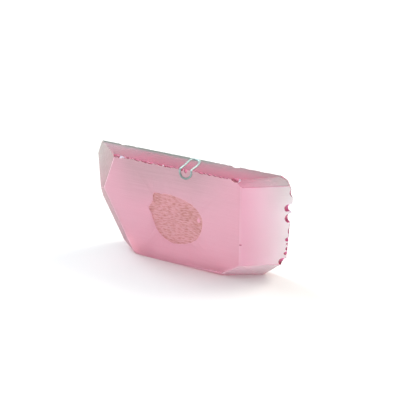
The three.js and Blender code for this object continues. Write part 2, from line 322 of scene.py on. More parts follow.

# Painted shade: the far edge of the top is painted dark grey, where its eased edge lies in shadow, from the
# first to the second of these widths in from the edge, and fading out along x
FAR_EDGE_SHADE_COLOUR = (0.13, 0.16, 0.145, 1)
FAR_EDGE_SHADE_SHARE = 0.6
FAR_EDGE_SHADE_WIDTHS = (2.5, 0.2)
FAR_EDGE_SHADE_END = (2.0, 12.0)
FAR_EDGE_SHADE_WAVER = 0.5

# The skin is tan, with brown threads and three browner spots: place (x, z) and radius of each. The weights
# say how brown each of these makes it.
SKIN_TAN = (0.56, 0.37, 0.24, 1)
SKIN_BROWN = (0.42, 0.2, 0.08, 1)
SKIN_SPOTS = ((-5.6, 16.4, 2.4), (6.4, 11.6, 2.6), (3.4, 13.9, 2.4))
THREAD_STRETCH = (0.85, 0.0, 4.2)
THREAD_RANGE = (0.42, 0.6)
THREAD_WEIGHT, SPOT_WEIGHT, CREST_WEIGHT, SPECK_WEIGHT = 0.75, 0.35, 0.7, 0.5

# How much the skin hides: where it is tan, and how much more where it is brown. It has a gap and pinholes.
SKIN_SHARE = (0.33, 0.36)
SKIN_COVER = (0.5, 0.65)
SKIN_GAP = (6.15, 12.85)
SKIN_GAP_RADII = (0.42, 0.62)
SKIN_GAP_RIM = (0.5, 1.3)
PINHOLE_RANGE = (0.56, 0.7)
PINHOLE_STRENGTH = 0.7

# Wire: painted light on the top, where light falls from above, painted shade where it hangs down the front,
# and mottled
WIRE_PAINTED_LIT = (0.5, 0.66, 0.66, 1)
WIRE_PAINTED_SHADE = (0.3, 0.42, 0.4, 1)
WIRE_MOTTLED = (0.33, 0.45, 0.43, 1)
WIRE_SHADE_SPAN = (HEIGHT - 1.2, HEIGHT - 0.2)
MOTTLE_SCALE = 1.4
MOTTLE_RANGE = (0.35, 0.7)
SCUFF_SCALE = 6.0
SCUFF_BUMP = 0.3
WIRE_METALLIC = 0.7
WIRE_ROUGHNESS = (0.3, 0.3)

# Light: the studio at the horizon, overhead and from the front, and its lamps (azimuth, elevation, strength,
# colour, spread)
HORIZON_LIGHT = 0.5
OVERHEAD_LIGHT = 1.1
FRONT_LIGHT = 0.5
OVERHEAD_RANGE = (0.0, 0.7)
FRONT_RANGE = (-0.2, 0.8)
LAMPS = {
    "warm_window": (151, 44, 1.5, (1.0, 0.93, 0.8), 28),
    "cool_window": (258, 41, 1.5, (0.82, 0.94, 1.0), 28),
}

# Camera and table
VIEW_AZIMUTH, VIEW_ELEVATION = 28.5, 24.0
VIEW_DISTANCE = 208.41
VIEW_TARGET = (4.77, -0.25, 16.55)
LENS = 80.28
SENSOR_WIDTH = 36.0
NEAREST, FARTHEST = 10.0, 20000.0
TABLE_REACH = 3000.0
TABLE_LEVEL = -0.02
TABLE_COLOUR = (0.9, 0.9, 0.9, 1)
TABLE_ROUGHNESS = 0.6


# ---- Node maths ----


class Wired:
    """A node's output. Sums on it add Math nodes to its tree."""

    def __init__(self, bench, socket):
        self.bench = bench
        self.socket = socket

    def output(self, name):
        return Wired(self.bench, self.socket.node.outputs[name])

    def _sum(self, operation, *terms, clamp=False):
        settings = {"operation": operation, "use_clamp": clamp}
        return self.bench.node("ShaderNodeMath", settings, dict(enumerate(terms)))

    def __add__(self, other):
        return self._sum("ADD", self, other)

    def __radd__(self, other):
        return self._sum("ADD", other, self)

    def __sub__(self, other):
        return self._sum("SUBTRACT", self, other)

    def __rsub__(self, other):
        return self._sum("SUBTRACT", other, self)

    def __mul__(self, other):
        return self._sum("MULTIPLY", self, other)

    def __rmul__(self, other):
        return self._sum("MULTIPLY", other, self)

    def __truediv__(self, other):
        return self._sum("DIVIDE", self, other)

    def __rtruediv__(self, other):
        return self._sum("DIVIDE", other, self)

    def __pow__(self, other):
        return self._sum("POWER", self, other)

    def __rpow__(self, other):
        return self._sum("POWER", other, self)

    def sine(self):
        return self._sum("SINE", self)

    def clamped(self):
        return self._sum("ADD", self, 0.0, clamp=True)

    def rising(self, low, high):
        """0 below low, 1 above high, and smooth between."""
        settings = {"interpolation_type": "SMOOTHSTEP"}
        return self.bench.node("ShaderNodeMapRange", settings, {0: self, 1: low, 2: high, 3: 0.0, 4: 1.0})


class Bench:
    """Adds nodes to one tree. A list as a socket's value links each of its outputs there."""

    def __init__(self, tree):
        self.tree = tree

    def node(self, kind, settings=None, sockets=None, output=0):
        """A node of that type, with its settings first, then the values or links of its sockets."""
        made = self.tree.nodes.new(kind)
        for name, value in (settings or {}).items():
            setattr(made, name, value)
        for name, value in (sockets or {}).items():
            for part in value if isinstance(value, list) else [value]:
                if isinstance(part, Wired):
                    self.tree.links.new(part.socket, made.inputs[name])
                else:
                    made.inputs[name].default_value = part
        return Wired(self, made.outputs[output]) if made.outputs else None

    def vector(self, operation, *terms):
        return self.node("ShaderNodeVectorMath", {"operation": operation}, dict(enumerate(terms)))

    def scaled(self, vector, factor):
        return self.node("ShaderNodeVectorMath", {"operation": "SCALE"}, {0: vector, "Scale": factor})

    def joined(self, x, y, z):
        return self.node("ShaderNodeCombineXYZ", sockets={0: x, 1: y, 2: z})

    def split(self, vector):
        parts = self.node("ShaderNodeSeparateXYZ", sockets={0: vector})
        return parts, parts.output("Y"), parts.output("Z")

    def noise(self, place, scale, detail=2.0, roughness=0.5):
        sockets = {"Vector": place, "Scale": scale, "Detail": detail, "Roughness": roughness}
        return self.node("ShaderNodeTexNoise", sockets=sockets)

    def waver(self, place, scale, reach, detail=2.0):
        """Noise about zero, half the reach either way."""
        return (self.noise(place, scale, detail) - 0.5) * reach


# ---- Geometry trees ----


def geometry_tree(name, inputs, build):
    """A tree whose named inputs are of those kinds, and whose build(bench, given) returns the geometry. It
    ends in Realize Instances and Set Material."""
    tree = bpy.data.node_groups.new(name, "GeometryNodeTree")
    for label, kind in {"Geometry": "Geometry", **inputs, "Material": "Material"}.items():
        tree.interface.new_socket(label, in_out="INPUT", socket_type="NodeSocket" + kind)
    tree.interface.new_socket("Geometry", in_out="OUTPUT", socket_type="NodeSocketGeometry")
    bench = Bench(tree)
    entry = tree.nodes.new("NodeGroupInput")
    given = {socket.name: Wired(bench, socket) for socket in entry.outputs if socket.name}
    real = bench.node("GeometryNodeRealizeInstances", sockets={"Geometry": build(bench, given)})
    painted = bench.node("GeometryNodeSetMaterial", sockets={"Geometry": real, "Material": given["Material"]})
    bench.node("NodeGroupOutput", sockets={"Geometry": painted})
    return tree


def grow(obj, tree, **values):
    """Puts the tree on the object as a modifier, with its named inputs set (spaces as underscores)."""
    modifier = obj.modifiers.new(tree.name, "NODES")
    modifier.node_group = tree
    for item in tree.interface.items_tree:
        name = item.name.replace(" ", "_")
        if item.in_out == "INPUT" and name in values:
            modifier[item.identifier] = values[name]


def make_plain(obj):
    """Carries out the object's modifiers, which leaves a plain mesh."""
    evaluated = obj.evaluated_get(bpy.context.evaluated_depsgraph_get())
    mesh = bpy.data.meshes.new_from_object(evaluated)
    obj.modifiers.clear()
    obj.data = mesh


def named(bench, name, kind="FLOAT"):
    return bench.node("GeometryNodeInputNamedAttribute", {"data_type": kind}, {"Name": name})


def stored(bench, geometry, name, value, kind="FLOAT", domain="POINT"):
    settings = {"data_type": kind, "domain": domain}
    sockets = {"Geometry": geometry, "Name": name, "Value": value}
    return bench.node("GeometryNodeStoreNamedAttribute", settings, sockets)


def moved(bench, geometry, offset):
    return bench.node("GeometryNodeSetPosition", sockets={"Geometry": geometry, "Offset": offset})


def shape_of(bench, other):
    """The mesh of another object, at its place in this object's frame."""
    settings = {"transform_space": "RELATIVE"}
    return bench.node("GeometryNodeObjectInfo", settings, {"Object": other}, "Geometry")


def cut_away(bench, body, cutters):
    """The body less the cutters. Cutters that overlap have to be instances of their own."""
    settings = {"operation": "DIFFERENCE", "solver": "MANIFOLD"}
    return bench.node("GeometryNodeMeshBoolean", settings, {"Mesh 1": body, "Mesh 2": cutters})


def apart(bench, balls):
    """Realized balls as one instance for each value of the attribute "chip"."""
    sockets = {"Geometry": balls, "Group ID": named(bench, "chip", "INT")}
    return bench.node("GeometryNodeSplitToInstances", {"domain": "FACE"}, sockets)


def swollen(bench, geometry, push):
    """The geometry with each point moved outwards by push."""
    return moved(bench, geometry, bench.scaled(bench.node("GeometryNodeInputNormal"), push))


def ball_at(bench, seats, radii, turn, detail):
    """A ball on each seat, numbered in the attribute "chip"."""
    ball = bench.node("GeometryNodeMeshIcoSphere", sockets={"Radius": 1.0, "Subdivisions": detail})
    rotation = bench.node("FunctionNodeEulerToRotation", sockets={"Euler": turn})
    sockets = {"Points": seats, "Instance": ball, "Rotation": rotation, "Scale": radii}
    balls = bench.node("GeometryNodeInstanceOnPoints", sockets=sockets)
    number = bench.node("GeometryNodeInputIndex")
    numbered = stored(bench, balls, "chip", number, "INT", "INSTANCE")
    return bench.node("GeometryNodeRealizeInstances", sockets={"Geometry": numbered})


def build_chips(bench, given):
    """Shell-shaped chips: ripples run round the point where each blow fell."""
    seats = shape_of(bench, given["Seats"])
    radii = named(bench, "radii", "FLOAT_VECTOR")
    turn = named(bench, "turn", "FLOAT_VECTOR")
    balls = ball_at(bench, seats, radii, turn, given["Detail"])
    place = bench.node("GeometryNodeInputPosition")
    blow = named(bench, "blow", "FLOAT_VECTOR")
    reach = bench.node("ShaderNodeVectorMath", {"operation": "DISTANCE"}, {0: place, 1: blow}, "Value")
    lumps = bench.noise(place, CHIP_LUMP_SCALE) - 0.5
    grain = bench.noise(place, CHIP_GRAIN_SCALE) - 0.5
    rings = (reach * (2 * math.pi) / given["Ring spacing"] + lumps * RING_WAVER).sine()
    size = named(bench, "size")
    push = rings * given["Ring height"] + lumps * size * given["Lumps"] + grain * size * given["Grain"]
    return cut_away(bench, given["Geometry"], apart(bench, swollen(bench, balls, push)))


def random_value(bench, seed, step, span):
    """A random number for each point within the span. Each step gives other numbers from the same seed."""
    sockets = {"Seed": seed * 100.0 + float(step), 2: span[0], 3: span[1]}
    return bench.node("FunctionNodeRandomValue", {"data_type": "FLOAT"}, sockets, 1)


def build_nicks(bench, given):
    """Nicks of changing size along one edge."""
    seed = given["Seed"]
    span = bench.vector("SUBTRACT", given["To"], given["From"])
    pitch = 1.0 / given["Count"]
    start = bench.vector("ADD", given["From"], bench.scaled(span, 0.5 * pitch))
    sockets = {"Count": given["Count"], "Start Location": start, "Offset": bench.scaled(span, pitch)}
    line = bench.node("GeometryNodeMeshLine", {"mode": "OFFSET"}, sockets)
    shift = random_value(bench, seed, 1, NICK_SHIFT)
    seats = moved(bench, line, bench.scaled(span, shift * pitch))
    size = given["Size"] * random_value(bench, seed, 2, NICK_SIZE) ** NICK_SIZE_POWER
    length = size * random_value(bench, seed, 3, NICK_LENGTH)
    depth = size * random_value(bench, seed, 4, NICK_DEPTH)
    radii = bench.joined(length, size * NICK_WIDTH, depth)
    lean = random_value(bench, seed, 5, NICK_LEAN)
    swing = random_value(bench, seed, 6, NICK_SWING)
    balls = ball_at(bench, seats, radii, bench.joined(lean, 0.0, swing), NICK_DETAIL)
    lump_scale, lump_reach = NICK_LUMPS
    lumps = bench.noise(bench.node("GeometryNodeInputPosition"), lump_scale) - 0.5
    rough = swollen(bench, balls, lumps * given["Size"] * lump_reach)
    return cut_away(bench, given["Geometry"], apart(bench, rough))


def build_skin(bench, given):
    """Cuts the plate by a pad whose back carries the low, broken ridges of the grown skin."""
    x, _, z = bench.split(bench.node("GeometryNodeInputPosition"))
    flat = bench.joined(x, z, 0.0)
    sway = bench.waver(flat, *BROAD_WAVER, detail=1.0) + bench.waver(flat, *FINE_WAVER, detail=1.0)
    across = (z + sway * given["Sway"]) / given["Ridge spacing"]
    along = x / given["Ridge length"]
    cell_sockets = {
        "Vector": bench.joined(along, across, 0.0),
        "Scale": 1.0,
        "Smoothness": CELL_SMOOTHNESS,
        "Randomness": CELL_RANDOMNESS,
    }
    cell_settings = {"voronoi_dimensions": "2D", "feature": "SMOOTH_F1"}
    cells = bench.node("ShaderNodeTexVoronoi", cell_settings, cell_sockets) - CELL_LEVEL
    ropes = (across * (2 * math.pi)).sine()
    grain = bench.noise(bench.joined(x * GRAIN_STRETCH[0], z * GRAIN_STRETCH[1], 0.0), 1.0, 3.0) - 0.5
    height = cells * CELL_SHARE + ropes * ROPE_SHARE + grain * GRAIN_SHARE
    ragged = named(bench, "inside") + bench.waver(flat, *RIM_WAVER, detail=3.0)
    within = ragged.rising(*PATCH_RIM)
    sunk = (within - 0.5) * 2.0 * PATCH_DEPTH
    push = (sunk + height * given["Ridge height"] * within) * named(bench, "behind")
    shaped = moved(bench, shape_of(bench, given["Pad"]), bench.joined(0.0, push, 0.0))
    covered = stored(bench, shaped, "cover", within)
    crested = stored(bench, covered, "crest", height * within)
    return cut_away(bench, given["Geometry"], crested)


def build_rod(bench, given):
    """A round rod along the object's line of points, with a bead over its two ends."""
    curve = bench.node("GeometryNodeMeshToCurve", sockets={"Mesh": given["Geometry"]})
    ring_sockets = {"Resolution": WIRE_SIDES, "Radius": given["Radius"]}
    ring = bench.node("GeometryNodeCurvePrimitiveCircle", sockets=ring_sockets)
    rod_sockets = {"Curve": curve, "Profile Curve": ring, "Fill Caps": True}
    rod = bench.node("GeometryNodeCurveToMesh", sockets=rod_sockets)
    ball = bench.node("GeometryNodeMeshIcoSphere", sockets={"Radius": 1.0, "Subdivisions": 3})
    swell = given["Radius"] - WIRE_RADIUS
    size = bench.vector("ADD", BEAD_RADII, bench.joined(swell, swell, swell))
    bead_sockets = {"Geometry": ball, "Translation": BEAD_AT, "Scale": size}
    bead = bench.node("GeometryNodeTransform", sockets=bead_sockets)
    union = {"operation": "UNION", "solver": "MANIFOLD"}
    both = bench.node("GeometryNodeMeshBoolean", union, {"Mesh 2": [rod, bead]})
    smooth = bench.node("GeometryNodeSetShadeSmooth", sockets={"Geometry": both, "Shade Smooth": True})
    return stored(bench, smooth, "facet", CHANNEL, "INT", "FACE")


def build_channel(bench, given):
    """Cuts the plate by the rod."""
    return cut_away(bench, given["Geometry"], shape_of(bench, given["Rod"]))


# ---- Finishes ----


def new_material(name):
    material = bpy.data.materials.new(name)
    material.use_nodes = True
    material.node_tree.nodes.clear()
    return material, Bench(material.node_tree)


def attribute(bench, name, output="Fac"):
    return bench.node("ShaderNodeAttribute", {"attribute_name": name}, output=output)


def mixed_colour(bench, share, first, second):
    return bench.node("ShaderNodeMix", {"data_type": "RGBA"}, {0: share, 6: first, 7: second}, 2)


def bumped(bench, height, strength):
    sockets = {"Height": height, "Strength": strength, "Distance": BUMP_HEIGHT * MM}
    return bench.node("ShaderNodeBump", sockets=sockets)


def place_on_piece(bench):
    """The place on the piece in millimetres, whole and as x, y and z."""
    place = bench.scaled(bench.node("ShaderNodeTexCoord", output="Object"), 1 / MM)
    return place, *bench.split(place)


def stretched_noise(bench, place, stretch, scale=1.0, detail=3.0, roughness=0.5):
    return bench.noise(bench.vector("MULTIPLY", place, stretch), scale, detail, roughness)


def grinding_lines(bench, place):
    """Long and level on the front and right, upright on the left faces."""
    level = stretched_noise(bench, place, LEVEL_STRETCH, *LEVEL_NOISE)
    plumb = stretched_noise(bench, place, UPRIGHT_STRETCH, *UPRIGHT_NOISE)
    return level + (plumb - level) * attribute(bench, "upright")


def far_from(x, z, centre, radii):
    """The square of the distance from the centre, in radii."""
    across = (x - centre[0]) / radii[0]
    up = (z - centre[1]) / radii[1]
    return across * across + up * up


def dust_and_painted_light(bench, place, x, y, z):
    """The colour of the dust and of painted light, and how much of it hides the glass. It changes along each
    face;
    painted glints sit on some chips, it is greyer high on the front and at the thin end, paler at the left
    end of the top, and painted with shade along the far edge of the top.
    """
    start_colour = attribute(bench, "dust_start", "Color")
    end_colour = attribute(bench, "dust_end", "Color")
    start_share = attribute(bench, "dust_share_start")
    end_share = attribute(bench, "dust_share_end")
    streak = stretched_noise(bench, place, STREAK_STRETCH) - 0.5
    run = (attribute(bench, "run") + streak * RUN_WAVER).clamped()
    colour = mixed_colour(bench, run, start_colour, end_colour)
    share = start_share + (end_share - start_share) * run

    # The film is greyer and hides more high on the front and high at the thin end
    cloud = bench.noise(place, CLOUD_SCALE) - 0.5
    high = (z + cloud * GREY_BAND_WAVER).rising(*GREY_BAND_RISE)
    left_grey_band = high * (1.0 - x.rising(*GREY_BAND_END)) * x.rising(*GREY_BAND_START)
    right_grey_band = (z + cloud * END_GREY_BAND_WAVER).rising(*END_GREY_BAND_RISE) * x.rising(*END_GREY_BAND_START)
    grey_band = (left_grey_band + right_grey_band * END_GREY_BAND_STRENGTH) * attribute(bench, "veiled")
    colour = mixed_colour(bench, grey_band, colour, GREY_BAND_COLOUR)

    on_top = attribute(bench, "top")
    pale = (1.0 - (x + streak * PALE_WAVER).rising(*PALE_END)) * on_top
    colour = mixed_colour(bench, pale, colour, PALE_COLOUR)

    # Painted shade: the far edge of the top is painted dark grey where its eased edge lies in shadow
    shade_starts, shade_ends = (BACK - width for width in FAR_EDGE_SHADE_WIDTHS)
    far_edge = (y + streak * FAR_EDGE_SHADE_WAVER).rising(shade_starts, shade_ends)
    far_edge_shade = far_edge * (1.0 - x.rising(*FAR_EDGE_SHADE_END)) * on_top
    colour = mixed_colour(bench, far_edge_shade, colour, FAR_EDGE_SHADE_COLOUR)
    return colour, share + grey_band * GREY_BAND_SHARE + far_edge_shade * FAR_EDGE_SHADE_SHARE


def grown_skin(bench, place, x, z, speck):
    """The colour of the skin, and how much of it hides the glass."""
    thread = stretched_noise(bench, place, THREAD_STRETCH).rising(*THREAD_RANGE)
    spots = 0.0
    for at_x, at_z, reach in SKIN_SPOTS:
        spots = spots + 1.0 - far_from(x, z, (at_x, at_z), (reach, reach)).rising(0.0, 1.0)
    tone = thread * THREAD_WEIGHT + spots * SPOT_WEIGHT
    tone = tone + attribute(bench, "crest") * CREST_WEIGHT + (speck - 0.5) * SPECK_WEIGHT
    brown = tone.clamped()
    pinholes = 1.0 - PINHOLE_STRENGTH * speck.rising(*PINHOLE_RANGE)
    whole = far_from(x, z, SKIN_GAP, SKIN_GAP_RADII).rising(*SKIN_GAP_RIM) * pinholes
    covered = attribute(bench, "cover").rising(*SKIN_COVER)
    tan_share, brown_share = SKIN_SHARE
    hidden = attribute(bench, "skin") * whole * covered * (tan_share + brown_share * brown)
    return mixed_colour(bench, brown, SKIN_TAN, SKIN_BROWN), hidden


def pink_beryl():
    """Clear pink crystal under a thin film: ground dust on its cut faces, brown skin in the patch, painted
    glints on some chips and painted shade along the far edge of the top.
    """
    material, bench = new_material("pink_beryl")
    place, x, y, z = place_on_piece(bench)
    satin = attribute(bench, "satin")
    lines = grinding_lines(bench, place)
    speck = bench.noise(place, SPECK_SCALE)
    relief = (lines * LINE_RELIEF + speck * SPECK_RELIEF) * (satin * RELIEF_RISE).clamped()
    ground = bumped(bench, relief, GROUND_BUMP)
    glass_sockets = {
        "Base Color": attribute(bench, "tint", "Color"),
        "Roughness": satin * (ROUGHNESS_EVEN + ROUGHNESS_IN_LINES * lines),
        "IOR": BERYL_IOR,
        "Transmission Weight": 1.0,
        "Normal": ground,
    }
    glass = bench.node("ShaderNodeBsdfPrincipled", sockets=glass_sockets)

    dust_and_painted_light_colour, dust_and_painted_light_share = dust_and_painted_light(bench, place, x, y, z)
    skin_colour, skin_share = grown_skin(bench, place, x, z, speck)
    film_sockets = {
        "Base Color": mixed_colour(bench, attribute(bench, "skin"), dust_and_painted_light_colour, skin_colour),
        "Roughness": DUST_ROUGHNESS,
        "IOR": DUST_IOR,
        "Normal": ground,
    }
    film = bench.node("ShaderNodeBsdfPrincipled", sockets=film_sockets)
    spread = DUST_EVEN + DUST_IN_LINES * lines + DUST_IN_SPECKS * speck
    share = (dust_and_painted_light_share * spread + skin_share).clamped()
    surface = bench.node("ShaderNodeMixShader", sockets={0: share, 1: glass, 2: film})
    colour = {"Color": BERYL_COLOUR, "Density": BERYL_DENSITY}
    volume = bench.node("ShaderNodeVolumeAbsorption", sockets=colour)
    bench.node("ShaderNodeOutputMaterial", sockets={"Surface": surface, "Volume": volume})
    return material


def dull_wire():
    """Drawn wire that years in the growth vessel have left pale and dull, painted lighter on the top where
    light falls and darker in shade where it hangs.
    """
    material, bench = new_material("dull_wire")
    place, _, _, height = place_on_piece(bench)
    mottle = bench.noise(place, MOTTLE_SCALE, 3.0)
    scuff = bench.noise(place, SCUFF_SCALE, 3.0)
    # Painted light and shade: lighter on the top where light falls, darker where the wire hangs in shade
    in_shade = 1.0 - height.rising(*WIRE_SHADE_SPAN)
    lit_or_shaded = mixed_colour(bench, in_shade, WIRE_PAINTED_LIT, WIRE_PAINTED_SHADE)
    even, scuffed = WIRE_ROUGHNESS
    sockets = {
        "Base Color": mixed_colour(bench, mottle.rising(*MOTTLE_RANGE), lit_or_shaded, WIRE_MOTTLED),
        "Metallic": WIRE_METALLIC,
        "Roughness": even + scuffed * scuff,
        "Normal": bumped(bench, scuff, SCUFF_BUMP),
    }
    metal = bench.node("ShaderNodeBsdfPrincipled", sockets=sockets)
    bench.node("ShaderNodeOutputMaterial", sockets={"Surface": metal})
    return material


def white_table():
    material, bench = new_material("white_table")
    sockets = {"Base Color": TABLE_COLOUR, "Roughness": TABLE_ROUGHNESS}
    surface = bench.node("ShaderNodeBsdfPrincipled", sockets=sockets)
    bench.node("ShaderNodeOutputMaterial", sockets={"Surface": surface})
    return material


# ---- Pieces ----


def new_object(name, mesh):
    obj = bpy.data.objects.new(name, mesh)
    bpy.context.scene.collection.objects.link(obj)
    return obj


def plane_through(a, b, c, outward):
    """A point on the plane through three points, and the unit normal on the side that outward points to."""
    a, b, c = Vector(a), Vector(b), Vector(c)
    normal = (b - a).cross(c - a).normalized()
    if normal.dot(Vector(outward)) < 0:
        normal.negate()
    return a, normal


def facet_planes():
    """Each cut of the plate: its face number, a point and the way it faces."""
    ridge_foot = Vector((RIDGE_X, FRONT, RIDGE_FOOT_Z))
    ridge_top = Vector((RIDGE_X, FRONT, RIDGE_TOP_Z))
    bevel_face = Vector((THICKNESS, RIDGE_X - RIGHT, 0)).normalized()
    upper_trim_back = (RIGHT, BACK, UPPER_TRIM_BACK_Z)
    upper_trim_edge = Vector((RIDGE_X, FRONT, HEIGHT)) - bevel_face * UPPER_TRIM_INSET
    lower_trim_back = (RIGHT, BACK, LOWER_TRIM_BACK_Z)
    bevel_top_front = (BEVEL_TOP_FRONT_X, FRONT, HEIGHT)
    bevel_top_back = (BEVEL_TOP_BACK_X, BACK, HEIGHT)
    flank_back = (FLANK[0], BACK, FLANK[2])
    heel_front = (HEEL_END_X, FLANK[1], 0)
    heel_back = (HEEL_END_X, BACK, 0)
    toe_start = (TOE_START_X, FRONT, 0)
    return [
        (LEFT_BEVEL, *plane_through(bevel_top_front, bevel_top_back, BEVEL_FOOT, (-1, -1, 0))),
        (LEFT_SIDE, *plane_through(LEFT_TIP, SHOULDER, FLANK, (-1, 0, 0))),
        (LEFT_STRIP, *plane_through(BEVEL_FOOT, STRIP_FOOT, SHOULDER, (-1, -1, 0))),
        (FLANK_FACE, *plane_through(FLANK, FLANK_FOOT, flank_back, (-1, 0, 0))),
        (HEEL, *plane_through(FLANK_FOOT, heel_front, heel_back, (0, 0, -1))),
        (RIGHT_BEVEL, ridge_foot, bevel_face),
        (UPPER_TRIM, *plane_through(ridge_top, upper_trim_back, upper_trim_edge, (1, -1, 1))),
        (LOWER_TRIM, *plane_through(ridge_foot, lower_trim_back, LOWER_TRIM_FOOT, (1, -1, -1))),
        (LOWER_TRIM, *plane_through(toe_start, TOE_TOP, LOWER_TRIM_FOOT, (1, -1, -1))),
        *((THIN_EDGE, Vector(at), Vector(face).normalized()) for at, face in EDGE_BREAKS),
        (BROKEN_CORNER, *plane_through(*CORNER_BREAK, (1, 1, -1))),
        (SILL, *plane_through(*SILL_POINTS, (0, -1, -1))),
    ]


def slice_off(plate, facet, number, point, normal):
    """Takes off all that lies beyond the plane and closes the cut with a face of that number."""
    everything = plate.verts[:] + plate.edges[:] + plate.faces[:]
    cut = bmesh.ops.bisect_plane(
        plate, geom=everything, dist=TOUCHING, plane_co=point, plane_no=normal, clear_outer=True
    )
    rim = [part for part in cut["geom_cut"] if isinstance(part, bmesh.types.BMEdge)]
    if rim:
        for face in bmesh.ops.edgeloop_fill(plate, edges=rim)["faces"]:
            face[facet] = number


def edge_planes(plate, facet):
    """A narrow flat for each edge of the plate, as each cut is: its number, a point and the way it faces."""
    planes = []
    for edge in plate.edges:
        one, other = edge.link_faces
        spread = one.normal.angle(other.normal)
        if spread < SOFTEST_EDGE:
            continue
        pair = {one[facet], other[facet]}
        if FRONT_FACE in pair and pair & {LEFT_BEVEL, LEFT_STRIP}:
            number, width = WORN_LINE, WORN_LINE_WIDTH
        elif pair == {FRONT_FACE, RIGHT_BEVEL}:
            number, width = RIDGE_FLAT, RIDGE_FLAT_WIDTH
        else:
            number, width = EASED_EDGE, EASED_EDGE_WIDTH
        normal = (one.normal + other.normal).normalized()
        depth = width * math.tan(spread / 2) / 2
        planes.append((number, edge.verts[0].co - normal * depth, normal))
    return planes


def cut_plate():
    """The plate with its facets and eased edges, before it was chipped."""
    plate = bmesh.new()
    bmesh.ops.create_cube(plate, size=1.0)
    size = Matrix.Diagonal((LENGTH, THICKNESS, HEIGHT, 1))
    plate.transform(Matrix.Translation((0, 0, HEIGHT / 2)) @ size)
    facet = plate.faces.layers.int.new("facet")
    plate.normal_update()
    for face in plate.faces:
        face[facet] = BLOCK_FACES[tuple(round(part) for part in face.normal)]
    for cut in facet_planes():
        slice_off(plate, facet, *cut)
    bmesh.ops.recalc_face_normals(plate, faces=plate.faces)
    plate.normal_update()
    for cut in edge_planes(plate, facet):
        slice_off(plate, facet, *cut)
    bmesh.ops.recalc_face_normals(plate, faces=plate.faces)
    return finished(plate, "plate")


def finished(made, name):
    """A plain mesh of what bmesh has made."""
    mesh = bpy.data.meshes.new(name)
    made.to_mesh(mesh)
    made.free()
    return mesh


def read(items, name, kind=float, width=1):
    """A value for each item, or a row of values where the width is more than one."""
    values = np.zeros(len(items) * width, kind)
    items.foreach_get(name, values)
    return values if width == 1 else values.reshape(-1, width)


def set_values(mesh, name, domain, values):
    made = mesh.attributes.get(name) or mesh.attributes.new(name, "FLOAT", domain)
    made.data.foreach_set("value", np.asarray(values, np.float32))


def set_vectors(mesh, name, domain, vectors):
    made = mesh.attributes.get(name) or mesh.attributes.new(name, "FLOAT_VECTOR", domain)
    made.data.foreach_set("vector", np.asarray(vectors, np.float32).ravel())


def chip_seats(name, chips, blow_shift):
    """A point for each chip, with its radii, turn and size, and the place where the blow fell."""
    centres, radii, turns = np.array(chips, float).transpose(1, 0, 2)
    mesh = bpy.data.meshes.new(name)
    mesh.from_pydata(centres.tolist(), [], [])
    set_vectors(mesh, "radii", "POINT", radii)
    set_vectors(mesh, "turn", "POINT", turns)
    set_vectors(mesh, "blow", "POINT", centres + radii * np.array(blow_shift))
    set_values(mesh, "size", "POINT", radii.min(1))
    return bpy.data.objects.new(name, mesh)


def patch_inside(x, z):
    """How far each point lies inside the rim of the skin patch; negative outside."""
    across, up = x - PATCH_CENTRE[0], z - PATCH_CENTRE[1]
    place = (np.arctan2(up, across) / (2 * np.pi) % 1.0) * len(PATCH_RADII)
    before = np.floor(place).astype(int) % len(PATCH_RADII)
    radii = np.array(PATCH_RADII)
    blend = (1 - np.cos((place % 1.0) * np.pi)) / 2
    rim = radii[before] + (radii[(before + 1) % len(radii)] - radii[before]) * blend
    return rim - np.hypot(across, up)


def skin_pad():
    """A block in front of the patch, flush with the ground front, whose back face is finely divided."""
    pad = bmesh.new()
    bmesh.ops.create_grid(pad, x_segments=PATCH_CELLS, y_segments=PATCH_CELLS, size=PATCH_REACH)
    lay = Matrix.Translation((PATCH_CENTRE[0], FRONT, PATCH_CENTRE[1])) @ Matrix.Rotation(math.pi / 2, 4, "X")
    pad.transform(lay)
    raised = bmesh.ops.extrude_face_region(pad, geom=pad.faces[:])["geom"]
    front = [part for part in raised if isinstance(part, bmesh.types.BMVert)]
    bmesh.ops.translate(pad, verts=front, vec=(0, -PAD_THICKNESS, 0))
    bmesh.ops.recalc_face_normals(pad, faces=pad.faces)
    mesh = finished(pad, "skin_pad")
    x, y, z = read(mesh.vertices, "co", width=3).T
    set_values(mesh, "inside", "POINT", patch_inside(x, z))
    set_values(mesh, "behind", "POINT", y > FRONT - PAD_THICKNESS / 2)
    facets = mesh.attributes.new("facet", "INT", "FACE")
    facets.data.foreach_set("value", np.full(len(mesh.polygons), SKIN, np.int32))
    return bpy.data.objects.new("skin_pad", mesh)


def smooth_route(knots, step):
    """Points along the wire about a step apart, on a centripetal curve through the knots."""
    knots = [Vector(knot) for knot in knots]
    padded = [2 * knots[0] - knots[1], *knots, 2 * knots[-1] - knots[-2]]
    route = []
    for p0, p1, p2, p3 in zip(padded, padded[1:], padded[2:], padded[3:]):
        t1 = (p1 - p0).length ** 0.5
        t2 = t1 + (p2 - p1).length ** 0.5
        t3 = t2 + (p3 - p2).length ** 0.5
        count = max(1, round((p2 - p1).length / step))
        for i in range(count):
            t = t1 + (t2 - t1) * i / count
            a1 = p0.lerp(p1, t / t1)
            a2 = p1.lerp(p2, (t - t1) / (t2 - t1))
            a3 = p2.lerp(p3, (t - t2) / (t3 - t2))
            b1 = a1.lerp(a2, t / t2)
            b2 = a2.lerp(a3, (t - t1) / (t3 - t1))
            route.append(b1.lerp(b2, (t - t1) / (t2 - t1)))
    return [*route, knots[-1]]


def rod_object(name, tree, material, radius):
    route = smooth_route(WIRE_ROUTE, WIRE_STEP)
    mesh = bpy.data.meshes.new(name)
    mesh.from_pydata([list(at) for at in route], [(i, i + 1) for i in range(len(route) - 1)], [])
    rod = new_object(name, mesh)
    grow(rod, tree, Radius=radius, Material=material)
    make_plain(rod)
    return rod


